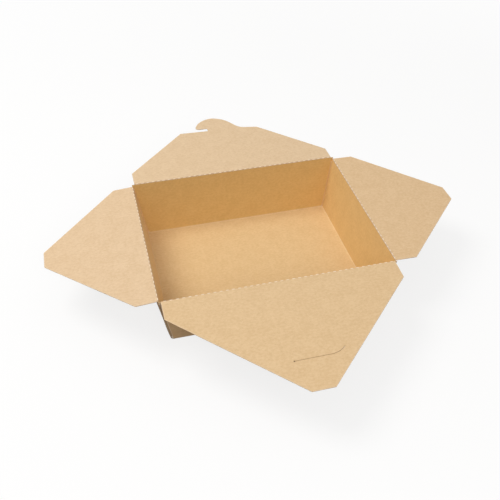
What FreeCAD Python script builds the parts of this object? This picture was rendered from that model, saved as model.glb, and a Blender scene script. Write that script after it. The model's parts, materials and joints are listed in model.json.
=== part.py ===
# Folded takeaway box of kraft board, open, with its four lid flaps splayed out.
# Origin at the middle of the underside, X along the long side, Y to the rear, Z up.
import FreeCAD, Part
import math
import os
import Sketcher

SIZES = {
    # board
    "board": 0.45,
    "crease_radius": 0.6,
    # tray: the base is measured outside, the rim from fold to fold
    "base_length": 152.7,
    "base_width": 120.5,
    "wall_height": 45.3,
    "rim_length": 168.0,
    "rim_width": 133.2,
    # web corners, folded flat against the outside of the end walls
    "web_drop": 3.2,
    "web_lift": 0.6,
    "web_bend": 0.9,
    "web_toe": 1.4,
    "layer_gap": 0.1,
    # cut creases between walls and flaps: bridges of board with slits between them
    "fold_bead": 0.4,
    "fold_gap": 0.1,
    "fold_pitch": 4.2,
    "bridge_length": 2.1,
    "lay_clearance": 0.15,
    # end flaps
    "end_inset": 1.3,
    "end_tip": 7.7,
    "left_side": 15.1,
    "left_reach": 71.6,
    "left_droop_angle": 4.3,
    "right_side": 15.7,
    "right_reach": 72.2,
    "right_droop_angle": 1.2,
    # front flap with its curved slit
    "front_inset": 1.5,
    "front_side": 15.4,
    "front_reach": 88.9,
    "front_tip": 7.6,
    "front_droop_angle": 3.8,
    "slit_reach": 65.6,
    "slit_width": 0.4,
    "slit_end": 11.3,
    "slit_straight": 24.3,
    "slit_radius": 14.0,
    "slit_sweep": 45.0,
    "slit_stop": 0.6,
    # rear flap with its hook
    "rear_inset": 1.8,
    "rear_side_left": 15.4,
    "rear_side_right": 13.6,
    "rear_reach": 68.4,
    "rear_reach_right": 64.2,
    "rear_tip_left": 33.0,
    "rear_tip_right": 35.2,
    "rear_droop_angle": 1.7,
    "notch_end": 8.5,
    "notch_fall": 1.2,
    "notch_width": 4.5,
    "nose_reach": 9.8,
    "nose_radius": 2.9,
    "crest_place": 1.3,
    "crest_rise": 20.4,
    "crown_sweep": 72.0,
    "shoulder_run": 14.3,
    "shoulder_drop": 10.2,
    "shoulder_sweep": 48.0,
    "flank_run": 4.4,
    "flank_drop": 7.3,
    "saddle_run": 7.5,
    "saddle_drop": 5.0,
    "saddle_sweep": 51.0,
    # rounding of the cut outline's corners
    "corner_radius": 0.8,
}

# Two points nearer than this are one
TOUCH = 0.001

# Derived expressions
LEAN_X = "((sizes.rim_length + sizes.board - sizes.base_length) / 2 / sizes.wall_height)"
LEAN_Y = "((sizes.rim_width + sizes.board - sizes.base_width) / 2 / sizes.wall_height)"
STEP = "(sizes.board + sizes.lay_clearance)"
SEAT = "(sizes.fold_bead + sizes.fold_gap)"
FRONT_TOP = f"(sizes.wall_height - {SEAT})"
END_TOP = f"(sizes.wall_height - {STEP} - {SEAT})"
REAR_TOP = f"(sizes.wall_height + {STEP} - {SEAT})"
SLANT = f"sqrt(1 + {LEAN_X} * {LEAN_X})"
END_SPLAY = f"({LEAN_Y} / {SLANT})"
LONG_SPLAY = f"({LEAN_X} / sqrt(1 + {LEAN_Y} * {LEAN_Y}))"
WEB_ANGLE = f"((90 deg - atan({LONG_SPLAY}) - atan({END_SPLAY})) / 2 - atan({END_SPLAY}))"

document = FreeCAD.newDocument("takeaway_box")
sheet = document.addObject("Spreadsheet::Sheet", "sizes")


def fill_sheet():
    """Write each size with its alias, one row apiece."""
    for row, (alias, value) in enumerate(SIZES.items(), start=1):
        sheet.set(f"A{row}", alias)
        sheet.set(f"B{row}", str(value))
        sheet.setAlias(f"B{row}", alias)
    document.recompute()


def value_of(expression):
    """The number that an expression gives with the sheet's present sizes."""
    value = sheet.evalExpression(str(expression))
    return float(getattr(value, "Value", value))


def origin_feature(body, role):
    """The body's own origin plane or axis of that role."""
    return next(item for item in body.Origin.OriginFeatures if item.Role == role)


def new_body(name):
    body = document.addObject("PartDesign::Body", name)
    body.Label = name
    return body


def new_sketch(body, name, plane, offset):
    """A sketch on one of the body's origin planes, moved by the placement expression."""
    sketch = body.newObject("Sketcher::SketchObject", name)
    sketch.AttachmentSupport = [(origin_feature(body, plane), "")]
    sketch.MapMode = "FlatFace"
    sketch.setExpression("AttachmentOffset", offset)
    document.recompute()
    return sketch


def lift(height):
    """A placement expression: the plane moved along its normal."""
    return f"placement(vector(0; 0; {height}); rotationx(0))"


def bind(sketch, constraint, expression):
    """Add a constraint and tie its value to an expression."""
    index = sketch.addConstraint(constraint)
    sketch.setExpression(f"Constraints[{index}]", expression)


def arc_between(start, end, sweep):
    """The arc from start to end that turns left through a positive sweep, right through a negative."""
    if sweep < 0:
        start, end = end, start
    half = math.radians(abs(sweep) / 2)
    chord = end - start
    radius = chord.Length / 2 / math.sin(half)
    inward = FreeCAD.Vector(-chord.y, chord.x, 0).normalize()
    centre = (start + end) / 2 + inward * (radius * math.cos(half))
    first = math.atan2(start.y - centre.y, start.x - centre.x)
    circle = Part.Circle(centre, FreeCAD.Vector(0, 0, 1), radius)
    return Part.ArcOfCircle(circle, first, first + 2 * half)


def radius_of(corner, following):
    """The expression for the radius of the arc between two corners."""
    across = f"({following[0]} - ({corner[0]}))"
    along = f"({following[1]} - ({corner[1]}))"
    chord = f"sqrt({across} * {across} + {along} * {along})"
    return f"{chord} / 2 / sin(abs({corner[2]}) / 2)"


def draw_outline(sketch, corners):
    """A closed outline whose corners are (x, y), or (x, y, sweep) where an arc leaves the corner."""
    points = [FreeCAD.Vector(value_of(corner[0]), value_of(corner[1]), 0) for corner in corners]
    edges = []
    for index, corner in enumerate(corners):
        following = (index + 1) % len(corners)
        start, end = points[index], points[following]
        if len(corner) == 2:
            geometry = sketch.addGeometry(Part.LineSegment(start, end), False)
            edges.append((geometry, 1, 2))
            continue
        sweep = value_of(corner[2])
        geometry = sketch.addGeometry(arc_between(start, end, sweep), False)
        radius = sketch.Geometry[geometry].Radius
        bind(sketch, Sketcher.Constraint("Radius", geometry, radius), radius_of(corner, corners[following]))
        edges.append((geometry, 1, 2) if sweep > 0 else (geometry, 2, 1))
    for index, (geometry, first, last) in enumerate(edges):
        neighbour, joined = edges[(index + 1) % len(edges)][:2]
        sketch.addConstraint(Sketcher.Constraint("Coincident", geometry, last, neighbour, joined))
        bind(sketch, Sketcher.Constraint("DistanceX", geometry, first, points[index].x), corners[index][0])
        bind(sketch, Sketcher.Constraint("DistanceY", geometry, first, points[index].y), corners[index][1])


def draw_circle(sketch, x, y, radius):
    centre = FreeCAD.Vector(value_of(x), value_of(y), 0)
    circle = Part.Circle(centre, FreeCAD.Vector(0, 0, 1), value_of(radius))
    geometry = sketch.addGeometry(circle, False)
    bind(sketch, Sketcher.Constraint("DistanceX", geometry, 3, centre.x), x)
    bind(sketch, Sketcher.Constraint("DistanceY", geometry, 3, centre.y), y)
    bind(sketch, Sketcher.Constraint("Radius", geometry, value_of(radius)), radius)


def extrude(body, kind, name, sketch, length, reverse=False, both_ways=False):
    """A pad or a pocket of a bound length."""
    feature = body.newObject(f"PartDesign::{kind}", name)
    feature.Profile = sketch
    feature.setExpression("Length", length)
    feature.Reversed = reverse
    feature.Midplane = both_ways
    sketch.Visibility = False
    document.recompute()
    return feature


def tapered_corner(body, kind, name, inset):
    """A quarter of the tapered tray, from the middle to the walls' outside less an inset, foot to rim."""
    feature = body.newObject(f"PartDesign::{kind}", name)
    feature.AttachmentSupport = [(origin_feature(body, "XZ_Plane"), "")]
    feature.MapMode = "FlatFace"
    sides = {
        "Xmin": "0", "X2min": "0",
        "Xmax": f"sizes.base_length / 2 - {inset}",
        "X2max": f"sizes.base_length / 2 + {LEAN_X} * {REAR_TOP} - {inset}",
        "Ymin": "0", "Ymax": REAR_TOP,
        "Zmax": "0", "Z2max": "0",
        "Zmin": f"-(sizes.base_width / 2 - {inset})",
        "Z2min": f"-(sizes.base_width / 2 + {LEAN_Y} * {REAR_TOP} - {inset})",
    }
    for side, expression in sides.items():
        feature.setExpression(side, expression)
    document.recompute()
    return feature


def round_edges(body, name, base, places, radius):
    """Fillet the edges of the base feature that run between the given pairs of points."""
    names = []
    for index, edge in enumerate(base.Shape.Edges, start=1):
        ends = [vertex.Point for vertex in edge.Vertexes]
        if len(ends) == 2 and any(same_ends(ends, pair) for pair in places):
            names.append(f"Edge{index}")
    if len(names) != len(places):
        raise RuntimeError(f"{name} found {len(names)} of {len(places)} edges")
    feature = body.newObject("PartDesign::Fillet", name)
    feature.Base = (base, names)
    feature.setExpression("Radius", radius)
    document.recompute()
    return feature


def same_ends(ends, pair):
    return any(
        (ends[0] - first).Length < TOUCH and (ends[1] - last).Length < TOUCH
        for first, last in (pair, pair[::-1]))


def make_tray():
    """Base, walls and web corners: one corner of the folded sheet, mirrored to make the other three."""
    body = new_body("tray")

    tapered_corner(body, "AdditiveWedge", "shell", "0")
    tapered_corner(body, "SubtractiveWedge", "hollow", "sizes.board")
    floor = new_sketch(body, "floor_outline", "XY_Plane", lift("0"))
    far_x = "(sizes.base_length - sizes.board) / 2"
    far_y = "(sizes.base_width - sizes.board) / 2"
    draw_outline(floor, [("0", "0"), (far_x, "0"), (far_x, far_y), ("0", far_y)])
    base = extrude(body, "Pad", "floor", floor, "sizes.board")

    length = value_of("sizes.base_length / 2")
    width = value_of("sizes.base_width / 2")
    corner = FreeCAD.Vector(length, width, 0)
    creases = [(corner, FreeCAD.Vector(length, 0, 0)), (corner, FreeCAD.Vector(0, width, 0))]
    round_edges(body, "foot_creases", base, creases, "sizes.crease_radius")
    web = make_web(body)
    last = mirror(body, "rear_and_front", web, "XZ_Plane")
    last = mirror(body, "right_and_left", last, "YZ_Plane")
    trim_rims(body)
    return body


def mirror(body, name, base, plane):
    feature = body.newObject("PartDesign::Mirrored", name)
    feature.TransformMode = "Whole shape"
    feature.MirrorPlane = (origin_feature(body, plane), [""])
    body.Tip = feature
    document.recompute()
    return feature


def make_web(body):
    """The web corner: board folded back on itself along a slanting crease, two layers on the end wall."""
    top = f"((sizes.wall_height - sizes.web_drop) * {SLANT})"
    rise = f"({top} - sizes.web_lift)"
    corner_foot = f"(sizes.base_width / 2 + {END_SPLAY} * sizes.web_lift)"
    corner_top = f"(sizes.base_width / 2 + {END_SPLAY} * {top})"
    fold_foot = f"({corner_foot} - sizes.web_toe)"
    fold_top = f"({fold_foot} - tan({WEB_ANGLE}) * {rise})"

    def wall_face(offset):
        return f"placement(vector(0; 0; sizes.base_length / 2); rotationx(atan({LEAN_X})))" + (
            f" * placement(vector(0; 0; {offset}); rotationx(0))")

    outline = new_sketch(body, "web_outline", "YZ_Plane", wall_face("0"))
    foot = "sizes.web_lift"
    draw_outline(outline, [(corner_foot, foot), (corner_top, top), (fold_top, top), (fold_foot, foot)])
    block = extrude(body, "Pad", "web", outline, "2 * (sizes.board + sizes.layer_gap)")

    def outer_edge(foot_place, top_place):
        """The two ends of an edge on the block's outermost face."""
        out = value_of("2 * (sizes.board + sizes.layer_gap)")
        places = ((foot_place, foot), (top_place, top))
        return [outline.Placement.multVec(FreeCAD.Vector(value_of(y), value_of(z), out)) for y, z in places]

    nose = round_edges(body, "web_fold", block, [outer_edge(fold_foot, fold_top)], "sizes.board")
    round_edges(body, "web_corner", nose, [outer_edge(corner_foot, corner_top)], "sizes.crease_radius")

    past = "(sizes.board * 4)"
    inner = new_sketch(body, "inner_gap", "YZ_Plane", wall_face("0"))
    draw_outline(inner, [
        (f"({corner_foot} - sizes.web_bend)", "sizes.web_lift - sizes.board"),
        (f"({corner_top} - sizes.web_bend)", f"({top} + sizes.board)"),
        (f"({fold_top} - {past})", f"({top} + sizes.board)"),
        (f"({fold_top} - {past})", "sizes.web_lift - sizes.board"),
    ])
    extrude(body, "Pocket", "inner_gap_cut", inner, "sizes.layer_gap", reverse=True)

    fold_inset = f"(sizes.web_bend / cos({WEB_ANGLE}))"
    narrowing = f"(sizes.web_bend + {fold_inset} - sizes.web_toe)"
    meet = f"({narrowing} / (tan({WEB_ANGLE}) + {END_SPLAY}))"
    over = f"({rise} + sizes.board)"
    middle = new_sketch(body, "middle_gap", "YZ_Plane", wall_face("sizes.board + sizes.layer_gap"))
    draw_outline(middle, [
        (f"({corner_foot} - sizes.web_bend + {END_SPLAY} * {meet})", f"(sizes.web_lift + {meet})"),
        (f"({corner_foot} - sizes.web_bend + {END_SPLAY} * {over})", f"({top} + sizes.board)"),
        (f"({fold_foot} + {fold_inset} - tan({WEB_ANGLE}) * {over})", f"({top} + sizes.board)"),
    ])
    return extrude(body, "Pocket", "middle_gap_cut", middle, "sizes.layer_gap", reverse=True)


def trim_rims(body):
    """Bring each wall down to its own fold: end walls lowest, then the front, the rear highest."""
    margin = "sizes.rim_length"
    end_inside = f"(sizes.base_width / 2 - sizes.board + {LEAN_Y} * {END_TOP})"
    ends = new_sketch(body, "end_rims", "XY_Plane", lift(END_TOP))
    draw_outline(ends, [
        (f"-{margin}", f"-{end_inside}"),
        (margin, f"-{end_inside}"),
        (margin, end_inside),
        (f"-{margin}", end_inside),
    ])
    extrude(body, "Pocket", "end_rims_cut", ends, "sizes.wall_height", reverse=True)
    front = new_sketch(body, "front_rim", "XY_Plane", lift(FRONT_TOP))
    draw_outline(front, [(f"-{margin}", f"-{margin}"), (margin, f"-{margin}"), (margin, "0"), (f"-{margin}", "0")])
    extrude(body, "Pocket", "front_rim_cut", front, "sizes.wall_height", reverse=True)


def make_flap(name, corners, half_width, turn, droop, fold_x, fold_y, fold_z):
    """A flap drawn flat, hinge along its own X, with the bridges of the cut crease along that edge."""
    body = new_body(name)
    outline = new_sketch(body, f"{name}_outline", "XY_Plane", lift("0"))
    draw_outline(outline, [(f"-{half_width}", "0")] + corners + [(half_width, "0")])
    sheet_pad = extrude(body, "Pad", f"{name}_board", outline, "sizes.board", both_ways=True)

    half_board = FreeCAD.Vector(0, 0, value_of("sizes.board / 2"))
    tips = [
        FreeCAD.Vector(value_of(corner[0]), value_of(corner[1]), 0)
        for corner in corners if is_sharp(corners, corner)]
    edges = [(tip - half_board, tip + half_board) for tip in tips]
    round_edges(body, f"{name}_corners", sheet_pad, edges, "sizes.corner_radius")

    count = f"(floor((2 * {half_width} - sizes.bridge_length) / sizes.fold_pitch) + 1)"
    start = f"(-(({count} - 1) * sizes.fold_pitch + sizes.bridge_length) / 2)"
    section = new_sketch(body, f"{name}_bridge_section", "YZ_Plane", lift(start))
    draw_outline(section, bridge_profile())
    bridge = extrude(body, "Pad", f"{name}_bridge", section, "sizes.bridge_length")
    row = body.newObject("PartDesign::LinearPattern", f"{name}_bridges")
    row.Originals = [bridge]
    row.Direction = (origin_feature(body, "X_Axis"), [""])
    row.Mode = "Spacing"
    row.setExpression("Offset", "sizes.fold_pitch")
    row.setExpression("Occurrences", count)
    body.Tip = row
    body.setExpression("Placement", (
        f"placement(vector({fold_x}; {fold_y}; {fold_z}); rotationz({turn}) * rotationx(-{droop}))"))
    document.recompute()
    return body


def bridge_profile():
    """Round on the side where the board bends over the crease, flat-sided where it runs into wall and flap."""
    sides = 8
    step = 360 / sides

    def corner(index):
        angle = 90 + step * (index + 0.5)
        return f"(sizes.fold_bead * cos({angle}))", f"(sizes.fold_bead * sin({angle}))"

    return [(*corner(0), str(step))] + [corner(index) for index in range(1, sides)]


def is_sharp(corners, corner):
    """Corners between two straight edges are rounded; those on the hook keep their arcs."""
    index = corners.index(corner)
    return len(corner) == 2 and (index == 0 or len(corners[index - 1]) == 2)


def make_end_flap(name, turn, sign):
    half_width = "(sizes.rim_width / 2 - sizes.end_inset)"
    reach = f"sizes.{name}_reach"
    corners = [
        (f"-{half_width}", f"sizes.{name}_side"),
        ("-sizes.end_tip", reach),
        ("sizes.end_tip", reach),
        (half_width, f"sizes.{name}_side"),
    ]
    fold = f"{sign}sizes.rim_length / 2"
    height = f"sizes.wall_height - {STEP}"
    droop = f"sizes.{name}_droop_angle"
    return make_flap(f"{name}_flap", corners, half_width, turn, droop, fold, "0", height)


def make_front_flap():
    half_width = "(sizes.rim_length / 2 - sizes.front_inset)"
    corners = [
        (f"-{half_width}", "sizes.front_side"),
        ("-sizes.front_tip", "sizes.front_reach"),
        ("sizes.front_tip", "sizes.front_reach"),
        (half_width, "sizes.front_side"),
    ]
    body = make_flap("front_flap", corners, half_width, "180", "sizes.front_droop_angle",
                     "0", "-sizes.rim_width / 2", "sizes.wall_height")
    cut_slit(body)
    return body


def cut_slit(body):
    """A straight cut that curves towards the fold, with a round stop at its straight end."""
    turn_x = "(sizes.slit_end - sizes.slit_straight)"
    centre_y = "(sizes.slit_reach - sizes.slit_radius)"
    outer = "(sizes.slit_radius + sizes.slit_width / 2)"
    inner = "(sizes.slit_radius - sizes.slit_width / 2)"

    def arc_end(radius):
        x = f"({turn_x} - {radius} * sin(sizes.slit_sweep))"
        y = f"({centre_y} + {radius} * cos(sizes.slit_sweep))"
        return x, y

    path = new_sketch(body, "slit", "XY_Plane", lift("0"))
    draw_outline(path, [
        ("sizes.slit_end", f"({centre_y} + {inner})"),
        ("sizes.slit_end", f"({centre_y} + {outer})"),
        (turn_x, f"({centre_y} + {outer})", "sizes.slit_sweep"),
        arc_end(outer),
        (*arc_end(inner), "-sizes.slit_sweep"),
        (turn_x, f"({centre_y} + {inner})"),
    ])
    extrude(body, "Pocket", "slit_cut", path, "sizes.board * 2", both_ways=True)
    stop = new_sketch(body, "slit_stop_circle", "XY_Plane", lift("0"))
    draw_circle(stop, "sizes.slit_end", "sizes.slit_reach", "sizes.slit_stop")
    extrude(body, "Pocket", "slit_stop_cut", stop, "sizes.board * 2", both_ways=True)


def make_rear_flap():
    """The flap that closes last: its hook drops into the front flap's slit and slides sideways."""
    half_width = "(sizes.rim_length / 2 - sizes.rear_inset)"
    notch_floor = "(sizes.rear_reach - sizes.notch_fall)"
    notch_roof = f"({notch_floor} + sizes.notch_width)"
    nose_x = "(-sizes.notch_end - sizes.nose_reach)"
    crest_y = "(sizes.rear_reach + sizes.crest_rise)"
    shoulder_x = "(-sizes.crest_place + sizes.shoulder_run)"
    shoulder_y = f"({crest_y} - sizes.shoulder_drop)"
    flank_x = f"({shoulder_x} + sizes.flank_run)"
    flank_y = f"({shoulder_y} - sizes.flank_drop)"
    corners = [
        (f"-{half_width}", "sizes.rear_side_left"),
        ("-sizes.rear_tip_left", "sizes.rear_reach"),
        ("-sizes.notch_end", notch_floor),
        ("-sizes.notch_end", notch_roof),
        (f"({nose_x} + sizes.nose_radius)", notch_roof, "-90"),
        (nose_x, f"({notch_roof} + sizes.nose_radius)", "-sizes.crown_sweep"),
        ("-sizes.crest_place", crest_y, "-sizes.shoulder_sweep"),
        (shoulder_x, shoulder_y),
        (flank_x, flank_y, "sizes.saddle_sweep"),
        (f"({flank_x} + sizes.saddle_run)", f"({flank_y} - sizes.saddle_drop)"),
        ("sizes.rear_tip_right", "sizes.rear_reach_right"),
        (half_width, "sizes.rear_side_right"),
    ]
    return make_flap("rear_flap", corners, half_width, "0", "sizes.rear_droop_angle",
                     "0", "sizes.rim_width / 2", f"sizes.wall_height + {STEP}")


def check_document():
    """Stop before anything is written if a feature failed."""
    for item in document.Objects:
        if {"Invalid", "Error"} & set(item.State):
            raise RuntimeError(f"{item.Label} failed: {item.State}")


def export(bodies):
    os.makedirs("parts", exist_ok=True)
    for body in bodies:
        if body.Shape.isNull() or not body.Shape.isValid():
            raise RuntimeError(f"{body.Label} has no valid shape")
    for body in bodies:
        body.Shape.exportStep(os.path.join("parts", f"{body.Label}.step"))
        print(body.Label, len(body.Shape.Solids), "solid", round(body.Shape.Volume, 1), "mm3")


fill_sheet()
bodies = [
    make_tray(),
    make_end_flap("left", "90", "-"),
    make_end_flap("right", "-90", ""),
    make_front_flap(),
    make_rear_flap(),
]
document.recompute()
check_document()
export(bodies)
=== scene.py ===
import json
import math
import bpy
import numpy as np
from mathutils import Matrix, Vector, geometry
from random import Random


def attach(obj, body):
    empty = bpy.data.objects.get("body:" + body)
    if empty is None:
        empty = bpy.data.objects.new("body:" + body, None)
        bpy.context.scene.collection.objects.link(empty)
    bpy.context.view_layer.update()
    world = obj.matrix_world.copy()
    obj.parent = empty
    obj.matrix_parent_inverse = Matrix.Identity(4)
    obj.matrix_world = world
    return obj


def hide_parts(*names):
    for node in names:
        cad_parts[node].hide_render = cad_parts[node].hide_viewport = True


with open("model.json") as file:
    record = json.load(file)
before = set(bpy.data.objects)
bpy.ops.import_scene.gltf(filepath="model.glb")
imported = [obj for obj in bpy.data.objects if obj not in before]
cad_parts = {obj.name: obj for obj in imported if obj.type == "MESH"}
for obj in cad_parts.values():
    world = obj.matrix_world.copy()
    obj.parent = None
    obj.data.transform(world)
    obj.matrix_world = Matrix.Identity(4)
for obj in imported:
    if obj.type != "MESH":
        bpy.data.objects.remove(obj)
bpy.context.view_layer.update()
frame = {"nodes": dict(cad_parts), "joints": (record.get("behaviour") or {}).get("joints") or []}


MM = 0.001

# the board and the tray, as the solids have them
BOARD = 0.45 * MM
BASE_LENGTH = 152.7 * MM
BASE_WIDTH = 120.5 * MM
RIM_LENGTH = 168.0 * MM
RIM_WIDTH = 133.2 * MM
WALL_HEIGHT = 45.3 * MM
LEAN_X = (RIM_LENGTH + BOARD - BASE_LENGTH) / 2 / WALL_HEIGHT
LEAN_Y = (RIM_WIDTH + BOARD - BASE_WIDTH) / 2 / WALL_HEIGHT
SLANT = math.hypot(1, LEAN_X)

# the walls' tops, and the burr that the cut leaves on their inner edge
END_TOP = 44.28 * MM
FRONT_TOP = 44.88 * MM
REAR_TOP = 45.48 * MM
BURR = 0.12 * MM
# their rows of points: how far below a top the first is, how far in the edges' rows are on a long wall,
# and at what shares of the way across they are on an end wall
LIP_DEPTH = 0.55 * MM
LIP_INSET = 0.04 * MM
LIP_SHARES = (0.06, 0.94)

# the sheet's rounded folds and soft edges, and how far the long walls and the floor bow
FOLD_OUTSIDE = 0.9 * MM
FOLD_INSIDE = 0.45 * MM
FOLD_ANGLES = (0, 18, 36, 54, 70, 82)
SOFT = 0.07 * MM
WALL_BOW = 0.45 * MM
FLOOR_BOW = 0.6 * MM

# points over the walls, the floor and the webs: a wall's even rows start at the foot's height, and leave
# the room free at the foot and the top together
FOOT = 1.2 * MM
WALL_ROOM = 1.8 * MM
WALL_ROWS = 15
FLOOR_ROWS = 33
FLOOR_COLUMNS = 41
WEB_ROWS = 21

# distance from a corner of the tray in millimetres, and how far the inner face curls out into the seam
SEAM = ((0.9, 0.0), (0.5, 0.015), (0.25, 0.07), (0.08, 0.15))
SEAM_DEPTH = 0.19 * MM
# the same for how far a long wall's outer face curves in
CURVE = ((1.1, 0.0), (0.8, 0.06), (0.4, 0.2), (0.1, 0.33))
# the height at which both have grown to their full size
SEAM_RISE = 3 * MM

# the webs: the gap between their layers, how far they stay from the wall's top and from its foot, and how
# far in from the corner their fold starts
LAYER_GAP = 0.1 * MM
WEB_DROP = 3.2 * MM
WEB_LIFT = 0.6 * MM
WEB_TOE = 1.4 * MM
# how far they spring off the wall over their width
WEB_SPRING = 0.55 * MM
WEB_WIDTH = 32 * MM
# the outer layer's arch, its bend at the corner, and how far it is tucked in over its lowest share
WEB_ARCH = 0.5 * MM
WEB_ARCH_POWER = 0.8
WEB_BEND = 2.2 * MM
WEB_TUCK = 0.35 * MM
WEB_TUCK_SHARE = 0.25
# how far short of the corner the layer under it stops
WEB_BACK_ROOM = 2.2 * BOARD
# how much a web's distance from the wall spreads its grain
WEB_GRAIN_STRETCH = 3
# angles round the bend at the corner, and how worn it is there
BEND_ANGLES = (
    (0, 1.0), (8, 0.8), (14, 0.0), (22, 0.0), (32, 0.0), (45, 0.0), (60, 0.0), (75, 0.0), (90, 0.0))
# the same round the fold where the web turns back on itself
NOSE_ANGLES = ((30, 0.7), (60, 0.7), (90, 0.7), (120, 0.7), (150, 0.7), (180, 0.0))
# shares of the way along the outer layer and along the layer under it
OUTER_SHARES = (0.04, 0.1, 0.18, 0.28, 0.4, 0.55, 0.7, 0.85, 1.0)
BACK_SHARES = (0.33, 0.66, 1.0)

# the bridges in the cut creases, and the room between their ends and the edge's points
BRIDGE_RADIUS = 0.37 * MM
BRIDGE_SIDES = 14
BRIDGE_ROOM = 0.12 * MM
# random changes: millimetres taken off each end, and a share of the radius
BRIDGE_SHORTER = (-0.05, 0.15)
BRIDGE_THINNER = (0.93, 1.0)
SEED = 7
# shares of a bridge's length, and how thick it is there
BRIDGE_STATIONS = (
    (0.0, 0.55), (0.05, 0.82), (0.16, 0.97), (0.5, 1.0), (0.84, 0.97), (0.95, 0.82), (1.0, 0.55))
# the side of a bridge that is stretched most, in degrees from outwards
BRIDGE_STRETCH = 120
# between these distances from the fold lie the points of the notches that bridges leave in a solid's edge
NOTCH_START = 0.1 * MM
NOTCH_END = 0.6 * MM
# how far in from a flap's corner its fold's points start, and how much further in on a wall
FOLD_END = 0.6 * MM
RIM_END = 1.5 * MM

# the slit in the front flap: how far it closes up, and the round stop at its end
SLIT_CLOSING = 0.13 * MM
STOP_RADIUS = 0.75 * MM
STOP_SIDES = 12
STOP_DEPTH = -0.1 * MM

# a flap's mesh: steps along its outline and its slit, the rings inside both, and the field's spacing, with
# the distance of its rows and its room to the rings as shares of that
OUTLINE_STEP = 1.6 * MM
SLIT_STEP = 0.5 * MM
OUTLINE_RINGS = (0.07 * MM, 0.55 * MM)
SLIT_RINGS = (0.05 * MM, 0.32 * MM)
FIELD_SPACING = 3.0 * MM
FIELD_ROW = 0.87
FIELD_ROOM = 0.45
# the cut edge's profile through the board: inset and height
EDGE_PROFILE = ((0.02 * MM, 0.205 * MM), (0.0, 0.155 * MM), (0.0, -0.165 * MM), (0.02 * MM, -0.208 * MM))
# a sharp corner moves further than the line beside it, up to this limit
SHARP_LIMIT = 0.35
# what counts as level with a flap's upper face, as facing up, as one place, as joined and as a sharp edge
LEVEL_TOLERANCE = 0.002 * MM
UPWARD = 0.95
PLACE_DIGITS = 5
JOIN_TOLERANCE = 1e-6
SHARP_ANGLE = 50

# each face of the sheet has its own material
INSIDE, OUTSIDE, EDGE, FLOOR = 0, 1, 2, 3
# depth in the grain of what lies on the sheet's outside, and of its bridges
OUTSIDE_GRAIN = 0.05
BRIDGE_GRAIN = 0.001

# marks on the board, from 0 to 1: how dark its cuts and its painted shade are, and how pale its rubbed edges
# the slit: painted shade inside it, with some crushed board at its cut
SLIT_CUT_AND_SHADE = 0.5
# the slots between a fold's bridges: painted shade, with some crushed board
FOLD_CUT_AND_SHADE = 0.15
# the stop's hole: a dark disc of painted deep shade
STOP_SHADE = 1.0
# a web's outer layer by the corner: painted shade, where the flap's shadow falls
WEB_SHADE = 0.8
EDGE_WEAR = 0.35
BRIDGE_WEAR = 0.25
BRIDGE_WEAR_POWER = 0.6
# the folds at the walls' feet, inside and outside, the walls' upright edges, and the webs' ends
FLOOR_FOLD_WEAR = 0.3
FOOT_WEAR = 0.5
CORNER_WEAR = 1.0
WEB_END_WEAR = 0.3
# the headings of a web's centre line, in degrees, between which its outside gets painted shade
WEB_SHADE_HEADINGS = (103, 180)

# colours of the board
CLOUD_LIGHT = (0.775, 0.575, 0.372, 1)
CLOUD_DARK = (0.700, 0.497, 0.298, 1)
FLECK_DARK = (0.42, 0.265, 0.135, 1)
FLECK_PALE = (0.86, 0.70, 0.50, 1)
WORN = (0.93, 0.81, 0.66, 1)
# the dark colour of cuts and painted shade, and the painted deep shade in the stop's hole
CUT_AND_SHADE = (0.42, 0.262, 0.132, 1)
DEEP_SHADE = (0.13, 0.072, 0.034, 1)
# tints over them: the cut edge's is its own colour; the others paint in light and shade, on the outside, the
# tray's inner walls and floor, and each flap's upper face
OUTSIDE_SHADE_TINT = (1.0, 0.89, 0.72, 1)
EDGE_TINT = (1.0, 0.93, 0.80, 1)
WALL_SHADE_TINT = (1.0, 0.89, 0.53, 1)
FLOOR_SHADE_TINT = (1.0, 0.95, 0.76, 1)
LEFT_LIGHT_TINT = (0.995, 0.99, 0.975, 1)
RIGHT_LIGHT_TINT = (0.97, 0.93, 0.84, 1)
FRONT_LIGHT_TINT = (0.97, 0.94, 0.835, 1)
REAR_LIGHT_TINT = (0.985, 0.99, 0.975, 1)

# the grain: the size of its features, and their shares of the tone
CLOUD_SIZE = 9 * MM
CLOUD_SHARE = 0.28
MOTTLE_SIZE = 1.5 * MM
MOTTLE_STRETCH = (1.5, 1, 1)
MOTTLE_SHARE = 0.45
SPECKLE_SIZE = 0.5 * MM
SPECKLE_ROUGHNESS = 0.65
SPECKLE_SHARE = 0.27
TONE_RANGE = (0.36, 0.64)
# fibres: the way they lie in degrees, how strong they show, their colour
FIBRES = ((12, 0.16, FLECK_DARK), (-35, 0.16, FLECK_PALE), (70, 0.12, FLECK_DARK), (118, 0.14, FLECK_PALE))
FIBRE_SIZE = 0.35 * MM
FIBRE_STRETCH = (7, 1, 1)
FIBRE_RANGE = (0.62, 0.72)
# the plies that show in a cut edge
PLY_SIZE = 0.12 * MM
PLY_STRETCH = (30, 30, 1)
PLY_RANGE = (0.4, 0.6)
PLY_SHARE = 0.18
# how the speckle breaks up the worn places, and where the dark mark turns to painted deep shade
WORN_SPECKLE = 1.2
WORN_LEAST = 0.35
DEEP_SHADE_RANGE = (0.8, 1.0)
# the surface: strength and depth of the grain and of the waves, and the gloss
GRAIN_STRENGTH = 0.3
GRAIN_DEPTH = 0.05 * MM
WAVE_SIZE = 30 * MM
WAVE_STRENGTH = 0.5
WAVE_DEPTH = 0.9 * MM
ROUGHNESS = 0.6
ROUGHNESS_SPECKLE = 0.2
SPECULAR = 0.28
SHEEN = 0.12
SHEEN_ROUGHNESS = 0.6

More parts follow.
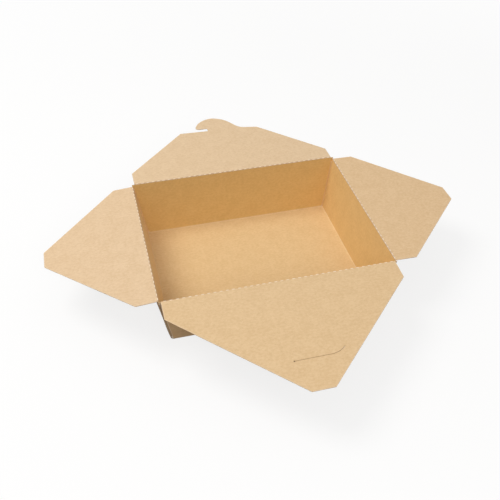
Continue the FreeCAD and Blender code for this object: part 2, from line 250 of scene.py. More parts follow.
# the ground under the box: how much of its look is plain white, so that the rest keeps a soft shadow,
# the distances over which the shadow fades, its own colour, and its colour as the box sees it
GROUND_WHITE = 0.8
GROUND_FADE = (0.3, 0.9)
GROUND_COLOUR = (0.93, 0.93, 0.93, 1)
GROUND_BOUNCE = (0.25, 0.25, 0.25, 1)
GROUND_SIZE = 6
GROUND_HEIGHT = -0.2 * MM
WHITE = (1, 1, 1, 1)

# the light's colour, and the dome's strength at the horizon and overhead
LIGHT_COLOUR = (1.0, 0.985, 0.965)
DOME_LOW = 0.31
DOME_HIGH = 0.53
# the lamps: name, place, size and power
LAMPS = (
    ("key", (-0.6, 0.25, 1.15), 0.7, 9.0),
    ("fill", (0.0, -1.0, 0.8), 0.5, 3.4),
)
LAMP_AIM = (0, 0, 0.03)

# the photograph's camera
FOCAL_PIXELS = 693.47
IMAGE_PIXELS = 500
SENSOR = 36
CAMERA_YAW = 15.072
CAMERA_PITCH = 41.237
CAMERA_ROLL = 0.767
CAMERA_PLACE = (-0.109128, -0.388065, 0.369593)
CLIP_START = 0.01


class Tree:
    """The node tree of a material or a world, with short ways to add and join nodes."""

    def __init__(self, owner):
        owner.use_nodes = True
        self.nodes = owner.node_tree.nodes
        self.links = owner.node_tree.links
        self.nodes.clear()

    def add(self, kind, inputs=None, **settings):
        """A new node. Each of its inputs is joined to a socket or set to a value."""
        node = self.nodes.new(kind)
        for key, value in settings.items():
            setattr(node, key, value)
        for key, value in (inputs or {}).items():
            if isinstance(value, bpy.types.NodeSocket):
                self.links.new(value, node.inputs[key])
            else:
                node.inputs[key].default_value = value
        return node

    def value(self, operation, first, second, third=0.0, clamp=False):
        inputs = {0: first, 1: second, 2: third}
        return self.add("ShaderNodeMath", inputs, operation=operation, use_clamp=clamp).outputs[0]

    def colour(self, factor, first, second, blend="MIX"):
        inputs = {0: factor, 6: first, 7: second}
        node = self.add("ShaderNodeMix", inputs, data_type="RGBA", blend_type=blend, clamp_factor=True)
        return node.outputs[2]

    def noise(self, place, size, stretch=(1, 1, 1), detail=3.0, roughness=0.55):
        """Noise whose features are about the given size in metres, stretched along each axis."""
        scale = tuple(1 / (size * s) for s in stretch)
        scaled = self.add("ShaderNodeMapping", {"Vector": place, "Scale": scale})
        inputs = {"Vector": scaled.outputs[0], "Scale": 1.0, "Detail": detail, "Roughness": roughness}
        return self.add("ShaderNodeTexNoise", inputs).outputs["Fac"]

    def ramp(self, factor, low, high):
        inputs = {"Value": factor, "From Min": low, "From Max": high}
        return self.add("ShaderNodeMapRange", inputs, interpolation_type="SMOOTHSTEP").outputs["Result"]

    def attribute(self, name, output):
        return self.add("ShaderNodeAttribute", attribute_name=name).outputs[output]


def add_fibres(tree, place, colour):
    """Long fibres that lie in several directions."""
    for turn, strength, shade in FIBRES:
        inputs = {"Vector": place, "Angle": math.radians(turn)}
        turned = tree.add("ShaderNodeVectorRotate", inputs, rotation_type="Z_AXIS")
        fibre = tree.noise(turned.outputs[0], FIBRE_SIZE, FIBRE_STRETCH, detail=1)
        shown = tree.value("MULTIPLY", tree.ramp(fibre, *FIBRE_RANGE), strength)
        colour = tree.colour(shown, colour, shade)
    return colour


def grain_colour(tree, place, speckle, tint):
    """The board's colour: cloudy tone, fibres and flecks, under a tint, which on most faces paints in light
    and shade.
    """
    cloud = tree.noise(place, CLOUD_SIZE)
    mottle = tree.noise(place, MOTTLE_SIZE, MOTTLE_STRETCH, detail=2)
    clouds = tree.value("MULTIPLY", cloud, CLOUD_SHARE)
    speckles = tree.value("MULTIPLY", speckle, SPECKLE_SHARE)
    tone = tree.value("MULTIPLY_ADD", mottle, MOTTLE_SHARE, tree.value("ADD", clouds, speckles))
    colour = tree.colour(tree.ramp(tone, *TONE_RANGE), CLOUD_DARK, CLOUD_LIGHT)
    colour = add_fibres(tree, place, colour)
    return tree.colour(1.0, colour, tint, "MULTIPLY")


def add_marks(tree, speckle, colour):
    """Pale wear that the speckle breaks up, and dark marks of cut board and of painted shade, the deepest of
    them painted deep shade.
    """
    broken = tree.value("MULTIPLY_ADD", speckle, WORN_SPECKLE, WORN_LEAST)
    rubbed = tree.value("MULTIPLY", tree.attribute("wear", "Fac"), broken, clamp=True)
    colour = tree.colour(rubbed, colour, WORN)
    # the dark mark: painted shade in slits, slots, the stop's hole and the webs' bends, with some crushed
    # board along the cuts
    cut_and_shade = tree.attribute("cut_and_shade", "Fac")
    colour = tree.colour(cut_and_shade, colour, CUT_AND_SHADE)
    return tree.colour(tree.ramp(cut_and_shade, *DEEP_SHADE_RANGE), colour, DEEP_SHADE)


def add_plies(tree, place, colour):
    """The dark lines of the plies in a cut edge."""
    plies = tree.noise(place, PLY_SIZE, PLY_STRETCH, detail=2)
    shown = tree.value("MULTIPLY", tree.ramp(plies, *PLY_RANGE), PLY_SHARE)
    return tree.colour(shown, colour, FLECK_DARK)


def surface_normal(tree, place, speckle):
    """Fine grain over slow waves."""
    grainy = tree.add("ShaderNodeBump", {
        "Height": speckle,
        "Strength": GRAIN_STRENGTH,
        "Distance": GRAIN_DEPTH,
    })
    wavy = tree.add("ShaderNodeBump", {
        "Height": tree.noise(place, WAVE_SIZE, detail=1),
        "Strength": WAVE_STRENGTH,
        "Distance": WAVE_DEPTH,
        "Normal": grainy.outputs[0],
    })
    return wavy.outputs[0]


def kraft(name, tint, cut_face=False):
    """Unbleached board, pale where it is rubbed, dark where it is cut or painted with shade, under a tint
    that on most faces paints in light and shade.
    """
    material = bpy.data.materials.new(name)
    tree = Tree(material)
    place = tree.attribute("grain", "Vector")
    speckle = tree.noise(place, SPECKLE_SIZE, roughness=SPECKLE_ROUGHNESS)
    colour = add_marks(tree, speckle, grain_colour(tree, place, speckle, tint))
    if cut_face:
        colour = add_plies(tree, place, colour)
    shader = tree.add("ShaderNodeBsdfPrincipled", {
        "Base Color": colour,
        "Roughness": tree.value("MULTIPLY_ADD", speckle, ROUGHNESS_SPECKLE, ROUGHNESS),
        "Specular IOR Level": SPECULAR,
        "Sheen Weight": SHEEN,
        "Sheen Roughness": SHEEN_ROUGHNESS,
        "Normal": surface_normal(tree, place, speckle),
    })
    tree.add("ShaderNodeOutputMaterial", {"Surface": shader.outputs[0]})
    return material


class Sheet:
    """Collects board's points and faces. A point knows its place on the flat blank, its wear and its dark
    mark of cut board and painted shade.
    """

    def __init__(self):
        self.points = []
        self.grain = []
        self.wear = []
        self.cut_and_shade = []
        self.faces = []
        self.kinds = []

    def point(self, place, grain, wear=0.0, cut_and_shade=0.0):
        self.points.append(tuple(place))
        self.grain.append(tuple(grain))
        self.wear.append(wear)
        self.cut_and_shade.append(cut_and_shade)
        return len(self.points) - 1

    def face(self, corners, kind, flip=False):
        self.faces.append(tuple(reversed(corners)) if flip else tuple(corners))
        self.kinds.append(kind)

    def grid(self, rows, kind, flip=False, closed=False):
        """Quads between neighbouring rows of points, joined round where the rows are closed."""
        for low, high in zip(rows, rows[1:]):
            count = len(low)
            for index in range(count if closed else count - 1):
                after = (index + 1) % count
                self.face((low[index], low[after], high[after], high[index]), kind, flip)

    def build(self, name, body, nodes, materials):
        mesh = bpy.data.meshes.new(name)
        mesh.from_pydata(self.points, [], self.faces)
        for key, kind, field, values in (
                ("grain", "FLOAT_VECTOR", "vector", self.grain),
                ("wear", "FLOAT", "value", self.wear),
                ("cut_and_shade", "FLOAT", "value", self.cut_and_shade)):
            attribute = mesh.attributes.new(key, kind, "POINT")
            attribute.data.foreach_set(field, np.array(values, np.float32).ravel())
        for material in materials:
            mesh.materials.append(material)
        mesh.polygons.foreach_set("material_index", self.kinds)
        mesh.polygons.foreach_set("use_smooth", [True] * len(self.faces))
        mesh.set_sharp_from_angle(angle=math.radians(SHARP_ANGLE))
        mesh.update()
        piece = bpy.data.objects.new(name, mesh)
        bpy.context.scene.collection.objects.link(piece)
        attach(piece, body)
        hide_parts(*nodes)


def top_loops(node, origin, axes):
    """The edges of a flap's upper face: closed runs of points in the flap's own plane, board on the left."""
    mesh = frame["nodes"][node].data
    places = (np.array([v.co for v in mesh.vertices]) - np.array(origin)) @ np.array(axes).T
    follows = {}
    for polygon in mesh.polygons:
        corners = [places[index] for index in polygon.vertices]
        if max(abs(corner[2] - BOARD / 2) for corner in corners) > LEVEL_TOLERANCE:
            continue
        keys = [(round(corner[0], PLACE_DIGITS), round(corner[1], PLACE_DIGITS)) for corner in corners]
        for start, end in zip(keys, keys[1:] + keys[:1]):
            if start in follows.get(end, ()):
                follows[end].discard(start)
            else:
                follows.setdefault(start, set()).add(end)
    loops = []
    while any(follows.values()):
        here = next(key for key, ends in follows.items() if ends)
        loop = []
        while follows.get(here):
            loop.append(here)
            here = follows[here].pop()
        loops.append(loop)
    return sorted(loops, key=len, reverse=True)


def resampled(loop, step, closed=True):
    """The run with points added so that none is further than a step from the next."""
    result = []
    ends = loop[1:] + loop[:1] if closed else loop[1:]
    for start, end in zip(loop, ends):
        parts = max(1, math.ceil(math.dist(start, end) / step))
        result += [tuple(s + (e - s) * i / parts for s, e in zip(start, end)) for i in range(parts)]
    return result if closed else result + [loop[-1]]


def inset(loop, distance):
    """The closed run moved to its left by a distance."""
    points = np.array(loop)
    ahead = np.roll(points, -1, 0) - points
    ahead /= np.linalg.norm(ahead, axis=1)[:, None]
    behind = np.roll(ahead, 1, 0)
    normals = np.stack([-ahead[:, 1] - behind[:, 1], ahead[:, 0] + behind[:, 0]], 1) / 2
    square = np.maximum((normals ** 2).sum(1), SHARP_LIMIT)
    return points + normals / square[:, None] * distance


def inside_loops(points, loops):
    """Whether each point lies on the board: inside the first run and outside the others."""
    crossings = np.zeros(len(points), int)
    for loop in loops:
        start = np.array(loop)
        end = np.roll(start, -1, 0)
        x, y = points[:, 0, None], points[:, 1, None]
        spans = (start[:, 1] > y) != (end[:, 1] > y)
        rise = np.where(end[:, 1] == start[:, 1], 1, end[:, 1] - start[:, 1])
        meet = start[:, 0] + (y - start[:, 1]) / rise * (end[:, 0] - start[:, 0])
        crossings += (spans & (x < meet)).sum(1)
    return crossings % 2 == 1


def clear_of(points, loops, room):
    """The points that are further than some room from every run."""
    keep = np.ones(len(points), bool)
    for loop in loops:
        start = np.array(loop)
        along = np.roll(start, -1, 0) - start
        offset = points[:, None, :] - start[None]
        share = np.clip((offset * along).sum(2) / (along ** 2).sum(1), 0, 1)
        keep &= np.linalg.norm(offset - share[..., None] * along, axis=2).min(1) > room
    return points[keep]


def flat_mesh(rings, spacing):
    """Triangles over the board between the first ring of each run, with the other rings as inner lines."""
    borders = [group[0] for group in rings]
    lines = [ring for group in rings for ring in group]
    low, high = np.min(borders[0], 0), np.max(borders[0], 0)
    field = []
    for row, y in enumerate(np.arange(low[1] + spacing / 2, high[1], spacing * FIELD_ROW)):
        start = low[0] + spacing * (0.5 if row % 2 else 1.0)
        field += [(x, y) for x in np.arange(start, high[0], spacing)]
    field = np.array(field)
    field = clear_of(field[inside_loops(field, borders)], lines, spacing * FIELD_ROOM)
    points = [tuple(p) for line in lines for p in line] + [tuple(p) for p in field]
    edges, base = [], 0
    for line in lines:
        edges += [(base + i, base + (i + 1) % len(line)) for i in range(len(line))]
        base += len(line)
    flat = [Vector((x / MM, y / MM)) for x, y in points]
    _, _, triangles, origins, _, _ = geometry.delaunay_2d_cdt(flat, edges, [], 0, JOIN_TOLERANCE)
    source = [group[0] if group else -1 for group in origins]
    if min(source) < 0:
        raise RuntimeError("a flap's edge lines cross")
    corners = np.array([[source[i] for i in triangle] for triangle in triangles])
    centres = np.array(points)[corners].mean(1)
    return points, corners[inside_loops(centres, borders)], [len(line) for line in lines]


def bridge_spans(loop):
    """Where along the fold the bridges are, from the notches that they leave in the flap's edge."""
    xs = sorted({round(x, PLACE_DIGITS) for x, y in loop if NOTCH_START < y < NOTCH_END})
    return list(zip(xs[::2], xs[1::2]))


def between_bridges(x, spans):
    return all(x < start or x > end for start, end in spans)


def edge_places(spans, half):
    """Where the fold's edge needs points: on both sides of each bridge's ends, and out to the corners."""
    places = [-half + FOLD_END]
    for start, end in spans:
        places += [start - BRIDGE_ROOM, start + BRIDGE_ROOM, end - BRIDGE_ROOM, end + BRIDGE_ROOM]
    return places + [half - FOLD_END]


def flap_axes(node, along):
    """A flap's own directions: along its fold, outwards, and up from its upper face."""
    polygons = frame["nodes"][node].data.polygons
    up = sum((p.normal * p.area for p in polygons if p.normal.z > UPWARD), Vector()).normalized()
    return along, up.cross(along).normalized(), up


def outline_run(outer, spans):
    """A flap's outline, with its fold as one straight edge without the bridges' notches."""
    away = [index for index, (x, y) in enumerate(outer) if y < NOTCH_END]
    first = next(i for i in away if (i + 1) % len(outer) not in away)
    chain = [outer[(first + 1 + i) % len(outer)] for i in range(len(outer) - len(away))]
    half = max(x for x, y in outer)
    fold = [(-half, 0.0)] + [(x, 0.0) for x in edge_places(spans, half)]
    return fold + resampled([(half, 0.0)] + chain + [(-half, 0.0)], OUTLINE_STEP, closed=False)[:-1]


def edge_cut_and_shade(x, y, spans, is_slit):
    """How dark a flap's edge is: painted shade with some crushed board along a slit, and the same between
    the bridges of the fold.
    """
    if is_slit:
        return SLIT_CUT_AND_SHADE
    return FOLD_CUT_AND_SHADE if y < NOTCH_START and between_bridges(x, spans) else 0.0


def plug_stop(sheet, slit, at, on_blank):
    """A dark disc in the round stop at the slit's end: painted deep shade where the hole is."""
    tip = max(slit)
    centre = (tip[0] - (STOP_RADIUS - SLIT_CLOSING), tip[1])
    hub = sheet.point(at(*centre, STOP_DEPTH), on_blank(*centre, BRIDGE_GRAIN), 0.0, STOP_SHADE)
    rim = []
    for step in range(STOP_SIDES):
        angle = 2 * math.pi * step / STOP_SIDES
        x, y = centre[0] + STOP_RADIUS * math.cos(angle), centre[1] + STOP_RADIUS * math.sin(angle)
        rim.append(sheet.point(at(x, y, STOP_DEPTH), on_blank(x, y, BRIDGE_GRAIN), 0.0, STOP_SHADE))
    for step in range(STOP_SIDES):
        sheet.face((hub, rim[step], rim[(step + 1) % STOP_SIDES]), EDGE)


def add_bridge(sheet, start, end, at, on_blank, random):
    """A strip of board left across the fold: bent round it, pale where the fibres are stretched."""
    start += random.uniform(*BRIDGE_SHORTER) * MM
    end -= random.uniform(*BRIDGE_SHORTER) * MM
    girth = BRIDGE_RADIUS * random.uniform(*BRIDGE_THINNER)
    rows = []
    for share, size in BRIDGE_STATIONS:
        x = start + (end - start) * share
        row = []
        for step in range(BRIDGE_SIDES):
            angle = 2 * math.pi * step / BRIDGE_SIDES
            y, z = girth * size * math.cos(angle), girth * size * math.sin(angle)
            facing = max(0.0, math.cos(angle - math.radians(BRIDGE_STRETCH)))
            wear = BRIDGE_WEAR + (1 - BRIDGE_WEAR) * facing ** BRIDGE_WEAR_POWER * size
            row.append(sheet.point(at(x, y, z), on_blank(x, y, BRIDGE_GRAIN), wear))
        rows.append(row)
    sheet.grid(rows, INSIDE, flip=True, closed=True)
    sheet.face(rows[0], EDGE)
    sheet.face(rows[-1], EDGE, flip=True)


def edge_marks(runs, counts, total, spans):
    """The wear and the dark mark of cut board and painted shade of a flap's flat points: those on its edges
    first, then the plain ones.
    """
    marks = []
    for index, run in enumerate(runs):
        cut_and_shade_marks = [edge_cut_and_shade(x, y, spans, index > 0) for x, y in run]
        marks += [(0.0, cut_and_shade) if cut_and_shade else (EDGE_WEAR, 0.0) for cut_and_shade in cut_and_shade_marks]
        marks += [(0.0, 0.0)] * counts[index * 2 + 1]
    return marks + [(0.0, 0.0)] * (total - len(marks))


def add_flap_faces(sheet, points, triangles, marks, at, on_blank):
    """A flap's upper and lower face. The points of both are returned, the upper face's first."""
    faces = []
    for z, kind, flip in ((BOARD / 2, INSIDE, False), (-BOARD / 2, OUTSIDE, True)):
        face = [sheet.point(at(x, y, z), on_blank(x, y, z), *mark) for (x, y), mark in zip(points, marks)]
        for triangle in triangles:
            sheet.face([face[i] for i in triangle], kind, flip)
        faces.append(face)
    return faces


def add_flap_edges(sheet, runs, counts, faces, spans, at, on_blank):
    """The soft cut edge between a flap's two faces, along its outline and its slit."""
    upper, lower = faces
    base = 0
    for index, run in enumerate(runs):
        count = counts[index * 2]
        rows = [upper[base:base + count]]
        for margin, z in EDGE_PROFILE:
            rows.append([
                sheet.point(at(x, y, z), on_blank(x, y, z), 0.0, edge_cut_and_shade(x, y, spans, index > 0))
                for x, y in inset(run, margin)])
        rows.append(lower[base:base + count])
        sheet.grid(rows[:2], INSIDE, flip=True, closed=True)
        sheet.grid(rows[1:-1], EDGE, flip=True, closed=True)
        sheet.grid(rows[-2:], OUTSIDE, flip=True, closed=True)
        base += count + counts[index * 2 + 1]


def make_flap(node, joint_name, tint, blank, random):
    """A flap of board with soft cut edges and its row of bridges, on the lines of its solid."""
    joint = next(j for j in frame["joints"] if j["name"] == joint_name)
    origin = Vector(joint["pos_m"])
    along, outward, up = flap_axes(node, Vector(joint["axis"]))
    loops = top_loops(node, origin, (along, outward, up))
    spans = bridge_spans(loops[0])
    slits = [[tuple(p) for p in inset(resampled(loop, SLIT_STEP), -SLIT_CLOSING)] for loop in loops[1:]]
    runs = [outline_run(loops[0], spans)] + slits

    def at(x, y, z):
        return origin + along * x + outward * y + up * z

    def on_blank(x, y, z):
        return (*blank(x, y), z + (0 if z > 0 else OUTSIDE_GRAIN))

    rings = []
    for index, run in enumerate(runs):
        margins = SLIT_RINGS if index > 0 else OUTLINE_RINGS
        rings.append([[tuple(p) for p in inset(run, margin)] for margin in margins])
    points, triangles, counts = flat_mesh(rings, FIELD_SPACING)
    marks = edge_marks(runs, counts, len(points), spans)

    sheet = Sheet()
    faces = add_flap_faces(sheet, points, triangles, marks, at, on_blank)
    add_flap_edges(sheet, runs, counts, faces, spans, at, on_blank)
    for slit in slits:
        plug_stop(sheet, slit, at, on_blank)
    for start, end in spans:
        add_bridge(sheet, start, end, at, on_blank, random)
    # the upper face's tint paints in this flap's light and shade, the lower face's tint its shade
    inside = kraft(node + "_kraft_inside", tint)
    outside = kraft(node + "_kraft_outside", OUTSIDE_SHADE_TINT)
    edge = kraft(node + "_kraft_edge", EDGE_TINT, cut_face=True)
    sheet.build(node + "_board", node, [node], [inside, outside, edge])
    return spans


def fold_profile(half, lean, radius, height):
    """How far out a wall's face is at a height above the floor's face, with the fold at its foot rounded."""
    turn = math.pi / 2 - math.atan(lean)
    start = half - radius * math.tan(turn / 2)
    if height >= radius * (1 - math.cos(turn)):
        return half + lean * height
    return start + radius * math.sqrt(max(0.0, 1 - (1 - height / radius) ** 2))


def face_halves(inner, level):
    """Half the length and half the width that the walls' inner or outer faces enclose at a level."""
    radius = FOLD_INSIDE if inner else FOLD_OUTSIDE
    halves = []
    for base, lean in ((BASE_LENGTH, LEAN_X), (BASE_WIDTH, LEAN_Y)):
        half = base / 2 - (BOARD * (1 - lean) if inner else 0)
        halves.append(fold_profile(half, lean, radius, level))
    return halves


def bow(along, half, height):
    """The long walls' slight outward bow, nothing at the folds."""
    share = min(1.0, max(0.0, height / FRONT_TOP))
    return WALL_BOW * math.cos(math.pi / 2 * along / half) * math.sin(math.pi * share)


def wall_ring(sheet, height, columns, inner, cut_and_shade=0.0, wear=0.0):
    """One closed row of points round the four walls, at a height above the underside."""
    level = height - BOARD if inner else height
    hx, hy = face_halves(inner, level)
    grown = min(1.0, level / SEAM_RISE)
    row = []
    for wall, (cos, sin) in enumerate(((1, 0), (0, 1), (-1, 0), (0, -1))):
        long_wall = wall % 2 == 0
        along_half, out_half = (hx, hy) if long_wall else (hy, hx)
        slope = math.hypot(1, LEAN_Y if long_wall else LEAN_X) * level
        reach = (BASE_WIDTH if long_wall else BASE_LENGTH) / 2 + slope
        if inner:
            ends = [(d * MM, curl * MM * grown) for d, curl in SEAM]
            tip = SEAM_DEPTH * grown
        else:
            ends = [(d * MM, -curl * MM * grown if long_wall else 0.0) for d, curl in CURVE]
            tip = 0.0
        places = [(-along_half - tip, tip, 0)]
        places += [(-along_half + d, curl, 0) for d, curl in reversed(ends)]
        places += [(share * along_half, 0.0, bare) for share, bare in columns[wall]]
        places += [(along_half - d, curl, 0) for d, curl in ends]
        for along, curl, bare in places:
            out = out_half + curl
            if long_wall and abs(along) < along_half:
                out += bow(along, along_half, height)
            x, y = along * cos + out * sin, along * sin - out * cos
            grain = (along * cos + reach * sin, along * sin - reach * cos, 0.0 if inner else OUTSIDE_GRAIN)
            rubbed = wear if inner or curl == 0.0 else CORNER_WEAR
            row.append(sheet.point((x, y, height), grain, rubbed, cut_and_shade * bare))
    return row


def wall_columns(spans, half):
    """Shares of a wall's half length where its rows have points, and whether the fold is cut there."""
    places = edge_places(spans, half - RIM_END)
    return [(x / half, 1.0 if between_bridges(x, spans) else 0.0) for x in places]


def without_cuts(columns):
    return [(share, 0.0) for share, bare in columns]


def add_walls(sheet, columns):
    """The four walls' inner and outer faces and their rims, up to the end walls' height."""
    arcs = [1 - math.cos(math.radians(angle)) for angle in FOLD_ANGLES]
    high = END_TOP - SOFT
    rows_up = [FOOT + (high - WALL_ROOM) * step / (WALL_ROWS - 1) for step in range(WALL_ROWS)]
    inner_heights = [BOARD + FOLD_INSIDE * arc for arc in arcs] + [h + BOARD / 2 for h in rows_up]
    outer_heights = [FOLD_OUTSIDE * arc for arc in arcs] + rows_up
    tops = []
    for is_inner, heights, foot_wear, kind in (
            (True, inner_heights, FLOOR_FOLD_WEAR, INSIDE), (False, outer_heights, FOOT_WEAR, OUTSIDE)):
        rows = [wall_ring(sheet, h, columns, is_inner, wear=foot_wear if h < FOOT else 0.0) for h in heights]
        # the top row and the rim get painted shade, with some crushed board, in the fold's slots between the
        # bridges
        rows.append(wall_ring(sheet, high, columns, is_inner, cut_and_shade=FOLD_CUT_AND_SHADE))
        sheet.grid(rows, kind, flip=is_inner, closed=True)
        tops.append(rows[-1])
    inner, outer = tops
    lips = []
    for row, share, rise in zip(tops, LIP_SHARES, (BURR, 0.0)):
        lip = []
        for here, at_inner, at_outer in zip(row, inner, outer):
            place = Vector(sheet.points[at_inner]).lerp(Vector(sheet.points[at_outer]), share)
            place.z = END_TOP + rise
            lip.append(sheet.point(place, sheet.grain[here], 0.0, FOLD_CUT_AND_SHADE))
        lips.append(lip)
    sheet.grid([inner, lips[0], lips[1], outer], EDGE, flip=True, closed=True)


def add_lip(sheet, columns, top, side):
    """The top of a long wall, which stands a little above the end walls from corner to corner."""
    low = END_TOP - SOFT
    # whether a row is on the inner face, its height, its shift outwards and its dark mark, painted shade in
    # the fold's slots with some crushed board
    stops = (
        (True, low, 0.0, 0.0),
        (True, top - LIP_DEPTH, 0.0, 0.0),
        (True, top + BURR - SOFT, 0.0, FOLD_CUT_AND_SHADE),
        (True, top + BURR, LIP_INSET, FOLD_CUT_AND_SHADE),
        (False, top, -LIP_INSET, FOLD_CUT_AND_SHADE),
        (False, top - SOFT, 0.0, FOLD_CUT_AND_SHADE),
        (False, top - LIP_DEPTH, 0.0, 0.0),
        (False, low, 0.0, 0.0),
    )
    rows = []
    for inner, height, shift, cut_and_shade in stops:
        out = BASE_WIDTH / 2 + LEAN_Y * height - (BOARD if inner else 0) + shift
        half = BASE_LENGTH / 2 + LEAN_X * height
        across, depth = side * (BASE_WIDTH / 2 + height), 0.0 if inner else OUTSIDE_GRAIN
        shares = [(-1, 0)] + [(s * RIM_LENGTH / 2 / half, bare) for s, bare in columns] + [(1, 0)]
        rows.append([
            sheet.point((share * half, side * out, height), (share * half, across, depth), 0.0, cut_and_shade * bare)
            for share, bare in shares])
    for index, kind in enumerate((INSIDE, INSIDE, EDGE, EDGE, EDGE, OUTSIDE, OUTSIDE)):
        sheet.grid(rows[index:index + 2], kind, flip=side > 0)
    sheet.face([row[0] for row in rows], EDGE, flip=side > 0)
    sheet.face([row[-1] for row in rows], EDGE, flip=side < 0)


def closer_at_ends(count):
    """Numbers from -1 to 1, closer together near both ends."""
    return [math.sin(math.pi / 2 * (2 * step / (count - 1) - 1)) for step in range(count)]


def add_floor(sheet):
    """The base: both faces rise a little in the middle."""
    for inner in (True, False):
        level, grain = (BOARD, 0.0) if inner else (0.0, OUTSIDE_GRAIN)
        hx, hy = face_halves(inner, 0.0)
        rows = []
        for v in closer_at_ends(FLOOR_ROWS):
            row = []
            for u in closer_at_ends(FLOOR_COLUMNS):
                rise = FLOOR_BOW * (1 - u * u) * (1 - v * v)
                x, y = u * hx, v * hy
                row.append(sheet.point((x, y, level + rise), (x, y, grain)))
            rows.append(row)
        sheet.grid(rows, FLOOR if inner else OUTSIDE, flip=not inner)


def web_path(height):
    """A web's centre line across the end wall at a height up the slope: (across, out, heading, wear)."""
    end_splay = LEAN_Y / SLANT
    long_splay = LEAN_X / math.hypot(1, LEAN_Y)
    lean = (math.pi / 2 - math.atan(long_splay) - math.atan(end_splay)) / 2 - math.atan(end_splay)
    corner = BASE_WIDTH / 2 + end_splay * height
    foot = BASE_WIDTH / 2 + end_splay * WEB_LIFT - WEB_TOE
    fold = foot - math.tan(lean) * (height - WEB_LIFT)
    rise = height / ((WALL_HEIGHT - WEB_DROP) * SLANT)
    depth = 2 * (BOARD + LAYER_GAP) - WEB_TUCK * max(0.0, 1 - rise / WEB_TUCK_SHARE) ** 2
    arch = WEB_ARCH * math.sin(math.pi * rise ** WEB_ARCH_POWER)
    bend = WEB_BEND - BOARD / 2
    nose = (BOARD + LAYER_GAP) / 2
    outer, inner = depth - BOARD / 2, LAYER_GAP + BOARD / 2
    path = []
    for angle, wear in BEND_ANGLES:
        turn = math.radians(angle)
        across = corner - BOARD / 2 - bend + bend * math.cos(turn)
        path.append((across, outer - bend + bend * math.sin(turn), 90 + angle, wear))
    start, end = path[-1][0], fold + BOARD / 2 + nose
    width = max(start - end, MM)
    for share in OUTER_SHARES:
        slope = math.atan(arch * math.pi / width * math.cos(math.pi * share))
        heading = 180 - math.degrees(slope) * (1 - share)
        path.append((start + (end - start) * share, outer + arch * math.sin(math.pi * share), heading, 0.0))
    for angle, wear in NOSE_ANGLES:
        turn = math.radians(angle)
        across = end - nose * math.sin(turn)
        path.append((across, (outer + inner) / 2 + nose * math.cos(turn), 180 + angle, wear))
    back = max(0.0, corner - WEB_BACK_ROOM - end)
    path += [(end + back * share, inner, 360, 0.0) for share in BACK_SHARES]
    return [(a, d + WEB_SPRING * max(0.0, (corner - a) / WEB_WIDTH) ** 2, h, w) for a, d, h, w in path]


def add_web(sheet, side_x, side_y):
    """One web corner: the sheet turns from the long wall on to the end wall, and folds back on itself."""
    top = (WALL_HEIGHT - WEB_DROP) * SLANT
    heights = [WEB_LIFT + (top - WEB_LIFT) * step / (WEB_ROWS - 1) for step in range(WEB_ROWS)]
    flip = side_x * side_y < 0
    first_shaded, last_shaded = WEB_SHADE_HEADINGS
    left, right = [], []
    for height in heights:
        end_wear = WEB_END_WEAR if height in (heights[0], heights[-1]) else 0.0
        path = web_path(height)
        for row, sign in ((left, 1), (right, -1)):
            points = []
            for across, out, heading, wear in path:
                turn = math.radians(heading)
                a = across - math.sin(turn) * sign * BOARD / 2
                d = out + math.cos(turn) * sign * BOARD / 2
                x = BASE_LENGTH / 2 + height * LEAN_X / SLANT + d / SLANT
                z = height / SLANT - d * LEAN_X / SLANT
                grain_x = BASE_LENGTH / 2 + height
                grain_y = BASE_WIDTH / 2 + out * WEB_GRAIN_STRETCH + a
                outward = sign < 0
                # painted shade on the outer layer near the corner, where the flap's shadow falls
                points.append(sheet.point(
                    (side_x * x, side_y * a, z),
                    (side_x * grain_x, side_y * grain_y, OUTSIDE_GRAIN),
                    max(wear if outward else 0.0, end_wear),
                    WEB_SHADE if outward and first_shaded < heading < last_shaded else 0.0))
            row.append(points)
    sheet.grid(left, OUTSIDE, flip=not flip)
    sheet.grid(right, OUTSIDE, flip=flip)
    for index, turned in ((0, flip), (-1, not flip)):
        sheet.grid([left[index], right[index]], EDGE, flip=not turned)


def make_tray(spans):
    """The tray as one folded sheet: floor, walls with rounded folds, and a folded web at each corner."""
    sheet = Sheet()
    front = wall_columns(spans["front_flap"], RIM_LENGTH / 2)
    right = wall_columns(spans["right_flap"], RIM_WIDTH / 2)
    rear = wall_columns(spans["rear_flap"], RIM_LENGTH / 2)
    left = wall_columns(spans["left_flap"], RIM_WIDTH / 2)
    add_walls(sheet, [without_cuts(front), right, without_cuts(rear), left])
    add_lip(sheet, front, FRONT_TOP, -1)
    add_lip(sheet, rear, REAR_TOP, 1)
    add_floor(sheet)
    for side_x in (-1, 1):
        for side_y in (-1, 1):
            add_web(sheet, side_x, side_y)
    # the inner walls' and floor's tints paint in shade and warm bounced light, the outside's tint paints its
    # shade
    inside = kraft("tray_kraft_inside", WALL_SHADE_TINT)
    outside = kraft("tray_kraft_outside", OUTSIDE_SHADE_TINT)
    floor = kraft("tray_kraft_floor", FLOOR_SHADE_TINT)
    edge = kraft("tray_kraft_edge", EDGE_TINT, cut_face=True)
    sheet.build("tray_board", "tray", ["tray"], [inside, outside, edge, floor])


def seen_directly(tree):
    """1 for what the camera sees, straight or in gloss or glass, and 0 for light on the object."""
    rays = tree.add("ShaderNodeLightPath").outputs
    seen = tree.value("MAXIMUM", rays["Is Camera Ray"], rays["Is Glossy Ray"])
    return tree.value("MAXIMUM", seen, rays["Is Transmission Ray"])


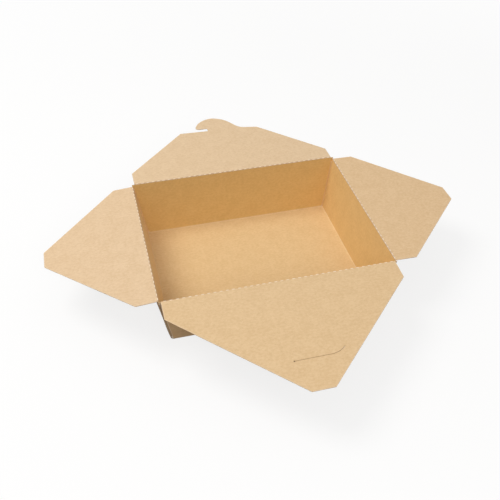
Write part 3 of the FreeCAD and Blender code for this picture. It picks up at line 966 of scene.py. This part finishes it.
def stage_floor():
    """White ground that keeps a soft shadow near the box and fades to plain white further out."""
    material = bpy.data.materials.new("floor_white")
    tree = Tree(material)
    colour = tree.colour(seen_directly(tree), GROUND_BOUNCE, GROUND_COLOUR)
    lit = tree.add("ShaderNodeBsdfDiffuse", {"Color": colour})
    white = tree.add("ShaderNodeEmission", {"Color": WHITE, "Strength": 1.0})
    place = tree.add("ShaderNodeNewGeometry").outputs["Position"]
    away = tree.add("ShaderNodeVectorMath", {0: place}, operation="LENGTH").outputs["Value"]
    fading = tree.value("MULTIPLY_ADD", tree.ramp(away, *GROUND_FADE), 1 - GROUND_WHITE, GROUND_WHITE)
    share = tree.value("MULTIPLY", seen_directly(tree), fading)
    mix = tree.add("ShaderNodeMixShader", {0: share, 1: lit.outputs[0], 2: white.outputs[0]})
    tree.add("ShaderNodeOutputMaterial", {"Surface": mix.outputs[0]})
    bpy.ops.mesh.primitive_plane_add(size=GROUND_SIZE, location=(0, 0, GROUND_HEIGHT))
    floor = bpy.context.object
    floor.name = "floor"
    floor.data.materials.append(material)


def stage_world():
    """A plain dome of light, which the camera sees as white."""
    world = bpy.data.worlds.new("studio")
    bpy.context.scene.world = world
    tree = Tree(world)
    direction = tree.add("ShaderNodeTexCoord").outputs["Generated"]
    up = tree.add("ShaderNodeSeparateXYZ", {0: direction}).outputs[2]
    strength = tree.value("MULTIPLY_ADD", tree.value("MAXIMUM", up, 0.0), DOME_HIGH - DOME_LOW, DOME_LOW)
    dome = tree.add("ShaderNodeBackground", {"Color": (*LIGHT_COLOUR, 1), "Strength": strength})
    white = tree.add("ShaderNodeBackground", {"Color": WHITE, "Strength": 1.0})
    mix = tree.add("ShaderNodeMixShader", {0: seen_directly(tree), 1: dome.outputs[0], 2: white.outputs[0]})
    tree.add("ShaderNodeOutputWorld", {"Surface": mix.outputs[0]})


def stage_lamp(name, place, size, power):
    light = bpy.data.lights.new(name, "AREA")
    light.shape = "DISK"
    light.size = size
    light.energy = power
    light.color = LIGHT_COLOUR
    lamp = bpy.data.objects.new(name, light)
    bpy.context.scene.collection.objects.link(lamp)
    lamp.location = place
    lamp.rotation_euler = (Vector(LAMP_AIM) - Vector(place)).to_track_quat("-Z", "Y").to_euler()


def stage_camera():
    data = bpy.data.cameras.new("camera")
    data.sensor_width = SENSOR
    data.lens = FOCAL_PIXELS / IMAGE_PIXELS * SENSOR
    data.clip_start = CLIP_START
    camera = bpy.data.objects.new("camera", data)
    bpy.context.scene.collection.objects.link(camera)
    turn = Matrix.Rotation(math.radians(-CAMERA_YAW), 4, "Z")
    tilt = Matrix.Rotation(math.radians(90 - CAMERA_PITCH), 4, "X")
    roll = Matrix.Rotation(math.radians(CAMERA_ROLL), 4, "Z")
    camera.matrix_world = Matrix.Translation(CAMERA_PLACE) @ turn @ tilt @ roll
    bpy.context.scene.camera = camera


# each flap: its node, its joint, its tint that paints in the flap's light and shade, and where its own
# points lie on the flat blank
FLAPS = (
    ("left_flap", "left_fold", LEFT_LIGHT_TINT, lambda x, y: (-RIM_LENGTH / 2 - y, x)),
    ("right_flap", "right_fold", RIGHT_LIGHT_TINT, lambda x, y: (RIM_LENGTH / 2 + y, -x)),
    ("front_flap", "front_fold", FRONT_LIGHT_TINT, lambda x, y: (-x, -RIM_WIDTH / 2 - y)),
    ("rear_flap", "rear_fold", REAR_LIGHT_TINT, lambda x, y: (x, RIM_WIDTH / 2 + y)),
)

random = Random(SEED)
fold_spans = {flap[0]: make_flap(*flap, random) for flap in FLAPS}
make_tray(fold_spans)

stage_floor()
stage_world()
for lamp in LAMPS:
    stage_lamp(*lamp)
stage_camera()
bpy.context.scene.view_settings.view_transform = "Standard"
